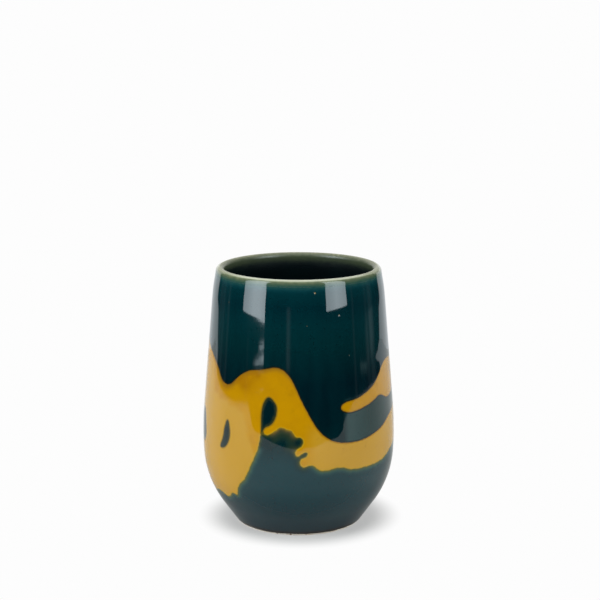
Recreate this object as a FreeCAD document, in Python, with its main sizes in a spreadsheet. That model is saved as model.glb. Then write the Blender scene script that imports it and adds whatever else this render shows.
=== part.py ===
# Toothbrush tumbler: one wheel-thrown stoneware cup under five coats of glaze.
# The cup stands on a turned foot ring, flares out to a low belly, draws in along
# a nearly straight wall and ends in a rounded lip.  A teal glaze covers the outside,
# a mustard glaze is poured round it in a band with a second arm on the right,
# a dark liner covers the inside and a thin olive glaze runs over the lip.
#
# Frame: millimetres, +Z up, origin on the table at the middle of the foot ring.
# The front of the cup looks along -Y; angles round the cup are counted from the front
# towards +X.
import FreeCAD, Part
import math
import os

import Sketcher
from BOPTools import SplitAPI

doc = FreeCAD.newDocument("ToothbrushTumbler")

# Driving sizes, in millimetres and degrees
sizes = [
    ("rim_height", 112.8, "top of the clay lip above the table"),
    ("wall_thickness", 3.1, "clay wall, the same from the lip to the floor corner"),
    ("belly_radius", 41.5, "widest clay radius"),
    ("belly_height", 39.3, "height of the widest place"),
    ("belly_bend_radius", 149.0, "radius of the belly's curve in section"),
    ("wall_taper_angle", 4.75, "lean of the straight wall from upright, degrees"),
    ("lip_bend_depth", 15.2, "where the straight wall starts to bend in, below the clay rim"),
    ("lip_bend_radius", 205.0, "radius of that bend"),
    ("turn_radius", 42.0, "radius of the turn from the flare to the belly"),
    ("flare_angle", 54.7, "slope of the flare above the foot, degrees from level"),
    ("foot_inset_width", 14.3, "how far the foot ring stands in from the belly"),
    ("foot_height", 0.6, "upright side of the foot ring"),
    ("foot_width", 4.2, "width of the ring that stands on the table"),
    ("foot_recess_depth", 1.5, "depth of the turned hollow inside the ring"),
    ("foot_edge_radius", 0.3, "rounding of the ring's edges"),
    ("floor_thickness", 3.5, "clay between the hollow and the inside floor"),
    ("floor_corner_radius", 9.0, "radius between the inside floor and the flare"),
    ("bare_band_height", 0.4, "bare clay between the foot's upright side and the glaze"),
    ("teal_thickness", 0.5, "thickness of the teal glaze"),
    ("pour_thickness", 0.65, "thickness of the poured mustard glaze"),
    ("liner_thickness", 0.4, "thickness of the inside glaze"),
    ("lip_glaze_thickness", 0.3, "thickness of the glaze that has run thin over the lip"),
    ("lip_outside_depth", 2.5, "lip glaze below the clay rim, outside"),
    ("lip_inside_depth", 3.7, "lip glaze below the clay rim, inside"),
    ("overrun_length", 5.0, "how far the cutting ribbons pass through the glaze"),
]

sheet = doc.addObject("Spreadsheet::Sheet", "Sizes")
for row, (name, number, meaning) in enumerate(sizes, start=1):
    sheet.set("A%d" % row, name)
    sheet.set("B%d" % row, str(number))
    sheet.set("C%d" % row, meaning)
    sheet.setAlias("B%d" % row, name)
doc.recompute()


def size(name):
    return float(sheet.get(name))


rim_height = size("rim_height")
wall = size("wall_thickness")
lip_bend_height = rim_height - size("lip_bend_depth")
belly_radius = size("belly_radius")
foot_radius = belly_radius - size("foot_inset_width")
foot_height = size("foot_height")
foot_recess_depth = size("foot_recess_depth")
overrun_length = size("overrun_length")
taper = math.radians(size("wall_taper_angle"))
flare = math.radians(size("flare_angle"))
floor_height = foot_recess_depth + size("floor_thickness")
recess_radius = foot_radius - size("foot_width")


# The wall's section
# One curve serves every face of the wall.  From the foot up it is a flare line, a turn
# arc, a belly arc, the straight wall and the lip bend, each tangent to the next.
# A face at some distance out from the clay's outside keeps the same centres.
def polar(centre, radius, angle):
    return (centre[0] + radius * math.cos(angle), centre[1] + radius * math.sin(angle))


class WallCurve:
    """The wall's curve at a distance out from the clay's outside face."""

    def __init__(self, out):
        self.belly_bend_radius = size("belly_bend_radius") + out
        self.turn_radius = size("turn_radius") + out
        self.lip_bend_radius = size("lip_bend_radius") + out
        self.belly_centre = (belly_radius - size("belly_bend_radius"), size("belly_height"))

        # the straight wall leaves the belly arc where its normal leans by the taper
        self.wall_low = polar(self.belly_centre, self.belly_bend_radius, taper)
        clay_low = polar(self.belly_centre, size("belly_bend_radius"), taper)
        rise = lip_bend_height - clay_low[1]
        clay_high = (clay_low[0] - rise * math.tan(taper), lip_bend_height)
        self.lip_centre = polar(clay_high, -size("lip_bend_radius"), taper)
        self.wall_high = polar(self.lip_centre, self.lip_bend_radius, taper)

        # the flare line runs through the foot ring's upper corner, moved out with the face
        self.normal = flare - math.pi / 2
        self.corner = polar((foot_radius, foot_height), out, self.normal)

        # the turn arc touches the flare line and, from inside, the belly arc
        start = polar(self.corner, -self.turn_radius, self.normal)
        across = start[0] - self.belly_centre[0]
        up = start[1] - self.belly_centre[1]
        along = across * math.cos(flare) + up * math.sin(flare)
        gap = self.belly_bend_radius - self.turn_radius
        reach = math.sqrt(along ** 2 - across ** 2 - up ** 2 + gap ** 2) - along
        self.turn_centre = polar(start, reach, flare)
        self.turn_angle = math.atan2(
            self.turn_centre[1] - self.belly_centre[1],
            self.turn_centre[0] - self.belly_centre[0],
        )
        self.flare_high = polar(self.turn_centre, self.turn_radius, self.normal)

    def flare_at(self, height):
        """Point of the flare line at a height."""
        return (self.corner[0] + (height - self.corner[1]) / math.tan(flare), height)

    def lip_angle_at(self, height):
        """Angle on the lip bend at a height."""
        return math.asin((height - self.lip_centre[1]) / self.lip_bend_radius)


clay_outside = WallCurve(0)
clay_inside = WallCurve(-wall)

# the crest is a half round over the wall, tangent to both sides of the lip bend
crest_height = rim_height - wall / 2
middle = WallCurve(-wall / 2)
crest_angle = middle.lip_angle_at(crest_height)
crest_centre = polar(middle.lip_centre, middle.lip_bend_radius, crest_angle)

# the floor corner rounds the inside floor into the inside flare
floor_corner_radius = size("floor_corner_radius")
corner_start = polar(clay_inside.corner, -floor_corner_radius, clay_inside.normal)
corner_rise = floor_height + floor_corner_radius - corner_start[1]
corner_centre = polar(corner_start, corner_rise / math.sin(flare), flare)


# Sketching in section: X is the radius, Y is the height
def point(at):
    return FreeCAD.Vector(at[0], at[1], 0)


def new_body(name):
    body = doc.addObject("PartDesign::Body", name)
    body.Label = name
    return body


def new_section(body, name):
    sketch = body.newObject("Sketcher::SketchObject", name)
    planes = [p for p in body.Origin.OriginFeatures if p.Role == "XZ_Plane"]
    sketch.AttachmentSupport = [(planes[0], "")]
    sketch.MapMode = "FlatFace"
    return sketch


def add_line(sketch, start, end):
    return sketch.addGeometry(Part.LineSegment(point(start), point(end)), False)


def add_arc(sketch, centre, radius, start, end):
    """Arc turning left from one angle to the other."""
    circle = Part.Circle(point(centre), FreeCAD.Vector(0, 0, 1), radius)
    return sketch.addGeometry(Part.ArcOfCircle(circle, start, end), False)


def tie(sketch, name, kind, items, formula):
    """Dimension bound to the sheet by a formula."""
    index = sketch.addConstraint(Sketcher.Constraint(kind, *items))
    sketch.renameConstraint(index, name)
    sketch.setExpression("Constraints." + name, formula)
    return index


def join(sketch, kind, first, first_end, second, second_end):
    sketch.addConstraint(Sketcher.Constraint(kind, first, first_end, second, second_end))


# what a constraint takes hold of: an edge's start, end or centre, and the sketch's origin
START, END, CENTRE = range(1, 4)
ORIGIN = (-1, 1)


def draw_wall(sketch, tag, curve, out, low, lip_end):
    """Draws one face of the wall from the flare line to the lip bend.

    out is the face's distance out from the clay as a formula, low the flare line's
    lower end as a point, lip_end the angle where the lip bend stops.
    """
    flare_line = add_line(sketch, low, curve.flare_high)
    turn_arc = add_arc(sketch, curve.turn_centre, curve.turn_radius, curve.normal, curve.turn_angle)
    belly_arc = add_arc(sketch, curve.belly_centre, curve.belly_bend_radius,
                        curve.turn_angle, taper)
    wall_line = add_line(sketch, curve.wall_low, curve.wall_high)
    lip_arc = add_arc(sketch, curve.lip_centre, curve.lip_bend_radius, taper, lip_end)
    run = [flare_line, turn_arc, belly_arc, wall_line, lip_arc]
    for lower, upper in zip(run, run[1:]):
        join(sketch, "Tangent", lower, END, upper, START)

    corner = sketch.addGeometry(Part.Point(point(curve.corner)), True)
    sketch.addConstraint(Sketcher.Constraint("PointOnObject", corner, START, flare_line))
    at = curve.corner
    tie(sketch, tag + "_corner_radius", "DistanceX", (*ORIGIN, corner, START, at[0]),
        "Sizes.belly_radius - Sizes.foot_inset_width + (%s) * sin(Sizes.flare_angle * 1deg)" % out)
    tie(sketch, tag + "_corner_height", "DistanceY", (*ORIGIN, corner, START, at[1]),
        "Sizes.foot_height - (%s) * cos(Sizes.flare_angle * 1deg)" % out)
    tie(sketch, tag + "_flare_angle", "Angle", (flare_line, flare), "Sizes.flare_angle * 1deg")
    tie(sketch, tag + "_turn_bend", "Radius", (turn_arc, curve.turn_radius),
        "Sizes.turn_radius + (%s)" % out)

    tie(sketch, tag + "_belly_bend", "Radius", (belly_arc, curve.belly_bend_radius),
        "Sizes.belly_bend_radius + (%s)" % out)
    at = curve.belly_centre
    tie(sketch, tag + "_belly_across", "DistanceX", (*ORIGIN, belly_arc, CENTRE, at[0]),
        "Sizes.belly_radius - Sizes.belly_bend_radius")
    tie(sketch, tag + "_belly_height", "DistanceY", (*ORIGIN, belly_arc, CENTRE, at[1]),
        "Sizes.belly_height")

    tie(sketch, tag + "_wall_taper", "Angle", (wall_line, math.pi / 2 + taper),
        "90deg + Sizes.wall_taper_angle * 1deg")
    tie(sketch, tag + "_wall_top", "DistanceY", (*ORIGIN, wall_line, END, curve.wall_high[1]),
        "Sizes.rim_height - Sizes.lip_bend_depth + (%s) * sin(Sizes.wall_taper_angle * 1deg)" % out)
    tie(sketch, tag + "_lip_bend", "Radius", (lip_arc, curve.lip_bend_radius),
        "Sizes.lip_bend_radius + (%s)" % out)
    return run


def draw_floor(sketch, tag, curve, coat, coat_formula, flare_line):
    """Draws the inside floor and its corner, a coat's thickness above the clay."""
    height = floor_height + coat
    radius = floor_corner_radius - coat
    floor_line = add_line(sketch, (0, height), (corner_centre[0], height))
    corner_arc = add_arc(sketch, corner_centre, radius, -math.pi / 2, curve.normal)
    join(sketch, "Tangent", floor_line, END, corner_arc, START)
    join(sketch, "Tangent", corner_arc, END, flare_line, START)
    sketch.addConstraint(Sketcher.Constraint("Horizontal", floor_line))
    sketch.addConstraint(Sketcher.Constraint("PointOnObject", floor_line, START, -2))
    tie(sketch, tag + "_floor_height", "DistanceY", (*ORIGIN, floor_line, START, height),
        "Sizes.foot_recess_depth + Sizes.floor_thickness + (%s)" % coat_formula)
    tie(sketch, tag + "_floor_corner", "Radius", (corner_arc, radius),
        "Sizes.floor_corner_radius - (%s)" % coat_formula)
    return floor_line


def draw_crest(sketch, tag, coat, lip_out, lip_in):
    """Draws the half round over the lip, a coat's thickness above the clay."""
    crest = add_arc(sketch, crest_centre, wall / 2 + coat, crest_angle, crest_angle + math.pi)
    join(sketch, "Tangent", lip_out, END, crest, START)
    join(sketch, "Tangent", lip_in, END, crest, END)
    tie(sketch, tag + "_crest_height", "DistanceY", (*ORIGIN, crest, CENTRE, crest_height),
        "Sizes.rim_height - Sizes.wall_thickness / 2")
    return crest


def close_level(sketch, first, first_end, first_at, second, second_end, second_at):
    """Level line that closes a coat between its two faces."""
    end = add_line(sketch, first_at, second_at)
    join(sketch, "Coincident", first, first_end, end, START)
    join(sketch, "Coincident", second, second_end, end, END)
    sketch.addConstraint(Sketcher.Constraint("Horizontal", end))
    return end


def revolve(body, sketch):
    turned = body.newObject("PartDesign::Revolution", body.Label + "_turned")
    turned.Profile = sketch
    turned.ReferenceAxis = (sketch, ["V_Axis"])
    turned.Angle = 360
    sketch.Visibility = False
    doc.recompute()
    return turned


# Stoneware body: the thrown and turned clay cup
# One section turned once round the axis: hollow under the foot, foot ring, outside
# wall, half round lip, inside wall, floor corner and floor.
stoneware = new_body("stoneware_body")
section = new_section(stoneware, "clay_section")
outside = draw_wall(section, "outside", clay_outside, "0", clay_outside.corner, crest_angle)
inside_low = polar(corner_centre, floor_corner_radius, clay_inside.normal)
inside = draw_wall(section, "inside", clay_inside, "-Sizes.wall_thickness", inside_low,
                   crest_angle)
draw_crest(section, "clay", 0, outside[-1], inside[-1])
floor_line = draw_floor(section, "clay", clay_inside, 0, "0", inside[0])

foot_side = add_line(section, (foot_radius, 0), clay_outside.corner)
foot_base = add_line(section, (recess_radius, 0), (foot_radius, 0))
recess_side = add_line(section, (recess_radius, 0), (recess_radius, foot_recess_depth))
recess_top = add_line(section, (0, foot_recess_depth), (recess_radius, foot_recess_depth))
axis_line = add_line(section, (0, foot_recess_depth), (0, floor_height))
join(section, "Coincident", foot_side, END, outside[0], START)
join(section, "Coincident", foot_base, END, foot_side, START)
join(section, "Coincident", recess_side, START, foot_base, START)
join(section, "Coincident", recess_top, END, recess_side, END)
join(section, "Coincident", axis_line, START, recess_top, START)
join(section, "Coincident", axis_line, END, floor_line, START)
for upright in (foot_side, recess_side, axis_line):
    section.addConstraint(Sketcher.Constraint("Vertical", upright))
section.addConstraint(Sketcher.Constraint("Horizontal", recess_top))
section.addConstraint(Sketcher.Constraint("PointOnObject", foot_base, START, -1))
section.addConstraint(Sketcher.Constraint("PointOnObject", foot_base, END, -1))
tie(section, "foot_side_height", "DistanceY", (foot_side, START, foot_side, END, foot_height),
    "Sizes.foot_height")
tie(section, "foot_width", "DistanceX", (foot_base, START, foot_base, END, size("foot_width")),
    "Sizes.foot_width")
tie(section, "foot_recess_depth", "DistanceY",
    (recess_side, START, recess_side, END, foot_recess_depth), "Sizes.foot_recess_depth")
turned_clay = revolve(stoneware, section)

# the ring's two standing edges are sponged round
ring_edges = []
for number, edge in enumerate(turned_clay.Shape.Edges, start=1):
    box = edge.BoundBox
    on_table = box.ZMax <= foot_height / 2
    if on_table and edge.Closed:
        ring_edges.append("Edge%d" % number)
rounded = stoneware.newObject("PartDesign::Fillet", "foot_rounded")
rounded.Base = (turned_clay, ring_edges)
rounded.setExpression("Radius", "Sizes.foot_edge_radius")
stoneware.Tip = rounded
doc.recompute()


# Outside coats: thin shells over the clay from the glaze line to the lip band
# Each is a section between the clay's outside and the same curve one coat further out.
glaze_line = foot_height + size("bare_band_height")
lip_line = rim_height - size("lip_outside_depth")


def outside_coat(name, coat_name):
    coat = size(coat_name)
    formula = "Sizes." + coat_name
    outer = WallCurve(coat)
    body = new_body(name)
    sketch = new_section(body, name + "_section")
    clay = draw_wall(sketch, "clay", clay_outside, "0", clay_outside.flare_at(glaze_line),
                     clay_outside.lip_angle_at(lip_line))
    face = draw_wall(sketch, "face", outer, formula, outer.flare_at(glaze_line),
                     outer.lip_angle_at(lip_line))
    close_level(sketch, clay[0], START, clay_outside.flare_at(glaze_line),
                face[0], START, outer.flare_at(glaze_line))
    upper = close_level(
        sketch,
        clay[-1], END, polar(clay_outside.lip_centre, clay_outside.lip_bend_radius,
                             clay_outside.lip_angle_at(lip_line)),
        face[-1], END, polar(outer.lip_centre, outer.lip_bend_radius, outer.lip_angle_at(lip_line)))
    tie(sketch, "glaze_line", "DistanceY", (*ORIGIN, clay[0], START, glaze_line),
        "Sizes.foot_height + Sizes.bare_band_height")
    tie(sketch, "lip_line", "DistanceY", (*ORIGIN, upper, START, lip_line),
        "Sizes.rim_height - Sizes.lip_outside_depth")
    revolve(body, sketch)
    return body


teal_shell = outside_coat("teal_shell", "teal_thickness")
pour_shell = outside_coat("pour_shell", "pour_thickness")


# Liner glaze: the dark coat on the floor and the inside wall, up to the lip band
liner_thickness = size("liner_thickness")
liner_top = rim_height - size("lip_inside_depth")
liner_face = WallCurve(-wall - liner_thickness)
liner = new_body("liner_glaze")
section = new_section(liner, "liner_section")
liner_low = polar(corner_centre, floor_corner_radius - liner_thickness, liner_face.normal)
clay_lip = clay_inside.lip_angle_at(liner_top)
face_lip = liner_face.lip_angle_at(liner_top)
clay_run = draw_wall(section, "clay", clay_inside, "-Sizes.wall_thickness", inside_low, clay_lip)
face_run = draw_wall(section, "face", liner_face, "-Sizes.wall_thickness - Sizes.liner_thickness",
                     liner_low, face_lip)
clay_floor = draw_floor(section, "clay", clay_inside, 0, "0", clay_run[0])
face_floor = draw_floor(section, "face", liner_face, liner_thickness, "Sizes.liner_thickness",
                        face_run[0])
floor_axis = add_line(section, (0, floor_height), (0, floor_height + liner_thickness))
join(section, "Coincident", floor_axis, START, clay_floor, START)
join(section, "Coincident", floor_axis, END, face_floor, START)
liner_end = close_level(
    section,
    clay_run[-1], END, polar(clay_inside.lip_centre, clay_inside.lip_bend_radius, clay_lip),
    face_run[-1], END, polar(liner_face.lip_centre, liner_face.lip_bend_radius, face_lip))
tie(section, "liner_top", "DistanceY", (*ORIGIN, liner_end, START, liner_top),
    "Sizes.rim_height - Sizes.lip_inside_depth")
revolve(liner, section)


# Lip glaze: the thin olive coat over the crest, from one band line to the other
lip_glaze_thickness = size("lip_glaze_thickness")
lip_inside = rim_height - size("lip_inside_depth")
lip = new_body("lip_glaze")
section = new_section(lip, "lip_section")


def draw_lip_side(sketch, tag, curve, out, low):
    """Draws the part of the lip bend from a band line up to the crest."""
    low_angle = curve.lip_angle_at(low)
    arc = add_arc(sketch, curve.lip_centre, curve.lip_bend_radius, low_angle, crest_angle)
    tie(sketch, tag + "_bend", "Radius", (arc, curve.lip_bend_radius),
        "Sizes.lip_bend_radius + (%s)" % out)
    return arc, polar(curve.lip_centre, curve.lip_bend_radius, low_angle)


lip_outer = WallCurve(lip_glaze_thickness)
lip_inner = WallCurve(-wall - lip_glaze_thickness)
clay_out, clay_out_at = draw_lip_side(section, "clay_out", clay_outside, "0", lip_line)
clay_in, clay_in_at = draw_lip_side(section, "clay_in", clay_inside, "-Sizes.wall_thickness",
                                    lip_inside)
face_out, face_out_at = draw_lip_side(section, "face_out", lip_outer,
                                      "Sizes.lip_glaze_thickness", lip_line)
face_in, face_in_at = draw_lip_side(section, "face_in", lip_inner,
                                    "-Sizes.wall_thickness - Sizes.lip_glaze_thickness", lip_inside)
clay_crest = draw_crest(section, "clay", 0, clay_out, clay_in)
face_crest = draw_crest(section, "face", lip_glaze_thickness, face_out, face_in)
for arc in (clay_in, face_out, face_in):
    join(section, "Coincident", arc, CENTRE, clay_out, CENTRE)
out_end = close_level(section, clay_out, START, clay_out_at, face_out, START, face_out_at)
in_end = close_level(section, clay_in, START, clay_in_at, face_in, START, face_in_at)
tie(section, "outside_line", "DistanceY", (*ORIGIN, out_end, START, lip_line),
    "Sizes.rim_height - Sizes.lip_outside_depth")
tie(section, "inside_line", "DistanceY", (*ORIGIN, in_end, START, lip_inside),
    "Sizes.rim_height - Sizes.lip_inside_depth")
# the bend's centre hangs from the straight wall, drawn here for reference only
guide = section.addGeometry(
    Part.LineSegment(point(clay_outside.wall_low), point(clay_outside.wall_high)), True)
belly_guide = section.addGeometry(Part.Point(point(clay_outside.belly_centre)), True)
tie(section, "guide_across", "DistanceX",
    (*ORIGIN, belly_guide, START, clay_outside.belly_centre[0]),
    "Sizes.belly_radius - Sizes.belly_bend_radius")
tie(section, "guide_height", "DistanceY",
    (*ORIGIN, belly_guide, START, clay_outside.belly_centre[1]), "Sizes.belly_height")
tie(section, "guide_taper", "Angle", (guide, math.pi / 2 + taper),
    "90deg + Sizes.wall_taper_angle * 1deg")
tie(section, "guide_low_across", "DistanceX",
    (belly_guide, START, guide, START, clay_outside.wall_low[0] - clay_outside.belly_centre[0]),
    "Sizes.belly_bend_radius * cos(Sizes.wall_taper_angle * 1deg)")
tie(section, "guide_low_height", "DistanceY",
    (belly_guide, START, guide, START, clay_outside.wall_low[1] - clay_outside.belly_centre[1]),
    "Sizes.belly_bend_radius * sin(Sizes.wall_taper_angle * 1deg)")
tie(section, "guide_top", "DistanceY", (*ORIGIN, guide, END, clay_outside.wall_high[1]),
    "Sizes.rim_height - Sizes.lip_bend_depth")
tie(section, "bend_across", "DistanceX",
    (clay_out, CENTRE, guide, END, clay_outside.wall_high[0] - clay_outside.lip_centre[0]),
    "Sizes.lip_bend_radius * cos(Sizes.wall_taper_angle * 1deg)")
tie(section, "bend_height", "DistanceY",
    (clay_out, CENTRE, guide, END, clay_outside.wall_high[1] - clay_outside.lip_centre[1]),
    "Sizes.lip_bend_radius * sin(Sizes.wall_taper_angle * 1deg)")
revolve(lip, section)


# Edges of the poured glaze
# Each outline is a closed curve on the wall, as pairs: degrees round the cup from the
# front, share of the rim height.
pour_top_shares = [
    # the shoulder on the left, the notch and the hump in front
    (-90.6, 0.742), (-75.5, 0.709), (-64.3, 0.673), (-58, 0.639), (-53.9, 0.607), (-47.8, 0.594),
    (-41.7, 0.618), (-36.6, 0.644), (-30.6, 0.663), (-22.5, 0.672), (-14.5, 0.683), (-9.4, 0.675),
    # down along the broad arm to the right
    (-4.4, 0.643), (0.6, 0.578), (6.6, 0.503), (12.6, 0.443), (19.6, 0.408), (27.6, 0.394),
    (39.6, 0.393), (49.6, 0.405), (59.4, 0.423), (68.2, 0.447), (79.4, 0.465), (91.8, 0.488),
    # round the end of the teal pocket and back under the narrow arm
    (101, 0.520), (97.9, 0.549), (85.6, 0.536), (75.3, 0.522), (66.3, 0.521), (58.4, 0.540),
    (51.5, 0.529), (42.6, 0.514), (34.6, 0.505), (28.6, 0.508),
    # the tip of the narrow arm and its upper side
    (25.6, 0.525), (27.6, 0.542), (35.6, 0.551), (44.6, 0.568), (51.5, 0.588), (57.4, 0.616),
    (63.3, 0.649), (70.1, 0.665), (81.4, 0.662),
    # across the back
    (100, 0.651), (122, 0.658), (145, 0.640), (165, 0.618), (185, 0.612), (205, 0.640),
    (225, 0.694), (245, 0.739), (258, 0.751),
]
pour_base_shares = [
    # the broad run on the left
    (-87.1, 0.143), (-73.5, 0.139), (-65.2, 0.154), (-58.4, 0.153), (-51, 0.147), (-45.8, 0.170),
    (-42.2, 0.168), (-39.1, 0.206), (-34, 0.241), (-29.5, 0.292), (-25.5, 0.347), (-23, 0.397),
    # the lump that stays teal under the drop
    (-22, 0.427), (-20, 0.430), (-17.5, 0.430), (-13.9, 0.444), (-10.4, 0.459), (-6.9, 0.454),
    (-3.9, 0.446), (-1.4, 0.426), (1.6, 0.422), (2.6, 0.405), (0.1, 0.384), (-1.9, 0.373),
    # two small fingers
    (-1.4, 0.355), (1.1, 0.357), (4.1, 0.369), (5.1, 0.361), (3.1, 0.348), (0.6, 0.334),
    (2.6, 0.311), (7.1, 0.318), (9.6, 0.309),
    # the lower side of the broad arm
    (13.6, 0.294), (19.6, 0.297), (25.6, 0.299), (31.6, 0.287), (41.6, 0.283), (51.5, 0.284),
    (61.4, 0.293), (71.2, 0.313), (83.5, 0.327),
    # across the back
    (95.9, 0.319), (110, 0.287), (122, 0.294), (136, 0.264), (150, 0.272), (166, 0.242),
    (180, 0.248), (195, 0.217), (210, 0.214), (226, 0.180), (240, 0.184), (256, 0.154),
]
# Islands of teal that the pour ran round
drop_shares = [
    (-18, 0.570), (-15, 0.559), (-12.9, 0.535), (-13, 0.510), (-14.5, 0.483),
    (-17, 0.465), (-19.8, 0.455), (-21.7, 0.439), (-22.1, 0.462), (-22.2, 0.492),
    (-21.8, 0.524), (-20.5, 0.553),
]
slit_shares = [
    (-46.3, 0.460), (-44.4, 0.433), (-44.2, 0.397), (-46, 0.369), (-49.3, 0.350),
    (-52.3, 0.350), (-50.8, 0.376), (-49.2, 0.409), (-48.3, 0.437),
]
patch_shares = [
    (-85, 0.458), (-77, 0.459), (-73.7, 0.416), (-72.5, 0.371), (-75.2, 0.341),
    (-83.2, 0.331), (-90.6, 0.346), (-93.4, 0.391), (-91.5, 0.436),
]


def ribbon(shares):
    """Radial ribbon that cuts the glaze along an outline."""
    def ring(radius):
        points = []
        for degrees, share in shares:
            turn = math.radians(degrees)
            points.append(FreeCAD.Vector(radius * math.sin(turn), -radius * math.cos(turn),
                                         share * rim_height))
        return points

    # steps by the square root of each chord keep sharp turns from overshooting
    steps = [0]
    middle_ring = ring(belly_radius)
    for here, there in zip(middle_ring, middle_ring[1:] + middle_ring[:1]):
        steps.append(steps[-1] + math.sqrt((there - here).Length))
    edges = []
    for radius in (foot_radius - overrun_length, belly_radius + overrun_length):
        curve = Part.BSplineCurve()
        curve.interpolate(Points=ring(radius), Parameters=steps, PeriodicFlag=True)
        edges.append(curve.toShape())
    return Part.makeRuledSurface(edges[0], edges[1])


pour_top = ribbon(pour_top_shares)
pour_base = ribbon(pour_base_shares)
islands = {
    "teal_drop_glaze": ribbon(drop_shares),
    "teal_slit_glaze": ribbon(slit_shares),
    "teal_patch_glaze": ribbon(patch_shares),
}


def cut_pieces(shell, ribbons):
    return SplitAPI.slice(shell.Shape, ribbons, "Split").Solids


# Teal glaze: what shows above the pour and below it
outside_pieces = cut_pieces(teal_shell, [pour_top, pour_base])
glazes = {
    "teal_upper_glaze": max(outside_pieces, key=lambda piece: piece.BoundBox.ZMax),
    "teal_foot_glaze": min(outside_pieces, key=lambda piece: piece.BoundBox.ZMin),
}

# Teal islands: the small piece that each outline cuts out of the teal shell
for name, outline in islands.items():
    glazes[name] = min(cut_pieces(teal_shell, [outline]), key=lambda piece: piece.Volume)

# Mustard glaze: the band between the two long outlines, less the islands
band_pieces = cut_pieces(pour_shell, [pour_top, pour_base] + list(islands.values()))
band_pieces.sort(key=lambda piece: piece.BoundBox.ZMax)
glazes["mustard_glaze"] = max(band_pieces[1:-1], key=lambda piece: piece.Volume)

for name, shape in glazes.items():
    glaze = doc.addObject("Part::Feature", name)
    glaze.Label = name
    glaze.Shape = shape
    glaze.Placement = FreeCAD.Placement()
doc.recompute()


# Check and write
nodes = ["stoneware_body", "liner_glaze", "lip_glaze"] + list(glazes)
faults = []
for item in doc.Objects:
    if "Invalid" in item.State or "Error" in item.State:
        faults.append(item.Label)
for name in nodes:
    shape = doc.getObjectsByLabel(name)[0].Shape
    if shape.isNull() or not shape.isValid() or len(shape.Solids) != 1:
        faults.append(name)
if faults:
    raise RuntimeError("failed: " + ", ".join(faults))

os.makedirs("parts", exist_ok=True)
for name in nodes:
    shape = doc.getObjectsByLabel(name)[0].Shape
    shape.exportStep("parts/" + name + ".step")
    print(name, "volume", round(shape.Volume, 1), "top", round(shape.BoundBox.ZMax, 2))
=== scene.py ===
# Toothbrush tumbler: a wheel-thrown stoneware cup with its glazes, as it comes from the kiln.
# The sections follow the making: the clay cup, the dark liner inside, the teal coat with
# the mustard pour, and the olive lip.  The table, the light and the camera come last.
# Metres, +Z up, origin on the table under the middle of the cup, front towards -Y.
import math

import bpy
import numpy as np
from mathutils.geometry import delaunay_2d_cdt
from mathutils.kdtree import KDTree
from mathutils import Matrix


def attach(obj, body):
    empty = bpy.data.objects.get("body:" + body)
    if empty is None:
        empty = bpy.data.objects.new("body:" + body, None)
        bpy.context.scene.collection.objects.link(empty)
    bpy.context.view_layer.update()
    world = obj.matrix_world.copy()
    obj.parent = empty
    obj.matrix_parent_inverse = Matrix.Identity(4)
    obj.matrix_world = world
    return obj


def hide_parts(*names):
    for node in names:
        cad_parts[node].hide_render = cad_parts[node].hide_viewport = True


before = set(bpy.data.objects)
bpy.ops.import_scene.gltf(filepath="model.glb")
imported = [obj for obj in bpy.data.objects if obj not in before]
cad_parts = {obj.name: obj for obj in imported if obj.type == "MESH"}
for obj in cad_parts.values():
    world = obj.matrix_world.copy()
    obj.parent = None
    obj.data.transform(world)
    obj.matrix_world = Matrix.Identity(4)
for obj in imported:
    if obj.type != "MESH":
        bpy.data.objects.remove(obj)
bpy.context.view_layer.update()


# ---- Clay cup
# The cup is thrown on the wheel in cream stoneware and its foot ring and hollow are turned
# once it is leather hard.  Glaze hides all of it but the foot, which is wiped clean before
# the firing so that the cup doesn't stick to the kiln shelf.
MM = 0.001


def tint(red, green, blue):
    """A colour as a screen shows it, 0 to 255, given as the share of light it sends back."""
    shares = []
    for value in (red, green, blue):
        shown = value / 255
        shares.append(shown / 12.92 if shown <= 0.04045 else ((shown + 0.055) / 1.055) ** 2.4)
    return (*shares, 1)


def feed(socket, value):
    """Sets an input to a number or colour, or wires an earlier result to it."""
    if isinstance(value, Result):
        value.tree.links.new(value.socket, socket)
    else:
        socket.default_value = value


def reckon(operation, first, second=0.0):
    """One sum on earlier results and numbers."""
    tree = first.tree if isinstance(first, Result) else second.tree
    node = tree.nodes.new("ShaderNodeMath")
    node.operation = operation
    feed(node.inputs[0], first)
    feed(node.inputs[1], second)
    return Result(node.outputs[0])


class Result:
    """What a node gives out.  Sums with it are written as sums and make the nodes for them."""

    def __init__(self, socket):
        self.socket = socket
        self.tree = socket.id_data

    def __add__(self, other):
        return reckon("ADD", self, other)

    def __sub__(self, other):
        return reckon("SUBTRACT", self, other)

    def __rsub__(self, other):
        return reckon("SUBTRACT", other, self)

    def __mul__(self, other):
        return reckon("MULTIPLY", self, other)

    def __truediv__(self, other):
        return reckon("DIVIDE", self, other)

    def __abs__(self):
        return reckon("ABSOLUTE", self)

    __radd__ = __add__
    __rmul__ = __mul__


def new_finish(name):
    """A new clay or glaze finish, its node tree and its shader."""
    finish = bpy.data.materials.new(name)
    finish.use_nodes = True
    return finish, finish.node_tree, finish.node_tree.nodes["Principled BSDF"]


def place_on_cup(tree):
    """Where the shaded spot is on the cup, in metres."""
    return Result(tree.nodes.new("ShaderNodeTexCoord").outputs["Object"])


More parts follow.
